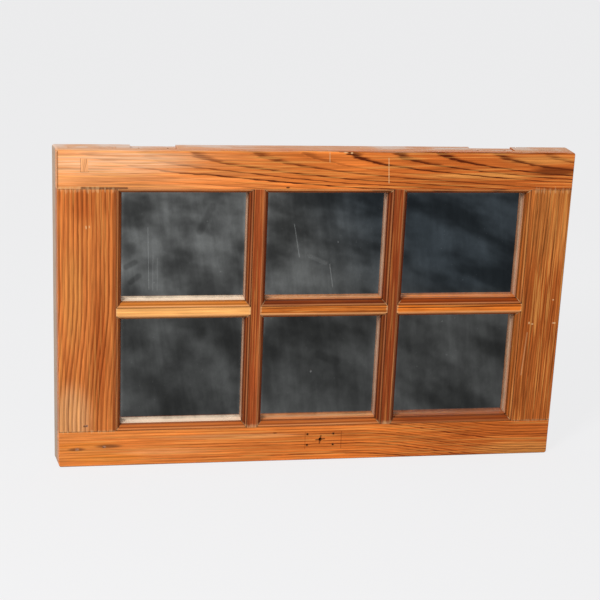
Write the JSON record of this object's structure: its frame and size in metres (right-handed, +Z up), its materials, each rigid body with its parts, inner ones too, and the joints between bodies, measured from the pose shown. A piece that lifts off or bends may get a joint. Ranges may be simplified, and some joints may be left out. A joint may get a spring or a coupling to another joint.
{
  "type": "window mirror",
  "caption": "Old varnished wooden window sash laid on its side, with moulded glazing bars and mirror panes, to stand on a shelf or hang from two rings.",
  "frame": {"origin": "on the bottom edge, under the middle of the front face, at half the sash's thickness", "axes": "+X to the right seen from the front, along the sash; +Y from the front to the back; +Z up"},
  "size_m": [0.6654, 0.0395, 0.419],
  "materials": {
    "rail_wood": "old varnish over straight-grained softwood",
    "stile_wood": "old varnish over straight-grained softwood",
    "muntin_wood": "old varnish, darker and redder",
    "crossbar_wood": "old varnish",
    "peg_wood": "varnished end grain",
    "mirror": "silvered glass, a little hazy at the edges",
    "putty": "dry linseed putty",
    "point_steel": "zinc-plated sheet",
    "nail_iron": "rusted",
    "hanger_steel": "zinc-plated sheet",
    "ring_steel": "zinc-plated wire",
    "screw_steel": "zinc-plated"
  },
  "bodies": {
    "sash": {"top_rail": "rail_wood", "bottom_rail": "rail_wood", "left_stile": "stile_wood", "right_stile": "stile_wood", "left_muntin": "muntin_wood", "right_muntin": "muntin_wood", "left_crossbar": "crossbar_wood", "middle_crossbar": "crossbar_wood", "right_crossbar": "crossbar_wood", "tenon_peg": "peg_wood", "tenon_wedges": "peg_wood", "mirror_bottom_left": "mirror", "putty_bottom_left": "putty", "mirror_bottom_middle": "mirror", "putty_bottom_middle": "putty", "mirror_bottom_right": "mirror", "putty_bottom_right": "putty", "mirror_top_left": "mirror", "putty_top_left": "putty", "mirror_top_middle": "mirror", "putty_top_middle": "putty", "mirror_top_right": "mirror", "putty_top_right": "putty", "glazing_points": "point_steel", "joint_nails": "nail_iron", "hanger_screws": "screw_steel", "left_hanger_strap": "hanger_steel", "right_hanger_strap": "hanger_steel"},
    "left_ring": {"left_hanger_ring": "ring_steel"},
    "right_ring": {"right_hanger_ring": "ring_steel"}
  },
  "joints": [
    {"name": "left_ring_swing", "type": "hinge", "parent": "sash", "child": "left_ring", "pos_m": [-0.2937, 0.01968, 0.318], "axis": [1, 0, 0], "range_deg": [0, 174]},
    {"name": "right_ring_swing", "type": "hinge", "parent": "sash", "child": "right_ring", "pos_m": [0.30305, 0.01968, 0.318], "axis": [1, 0, 0], "range_deg": [0, 174]}
  ]
}
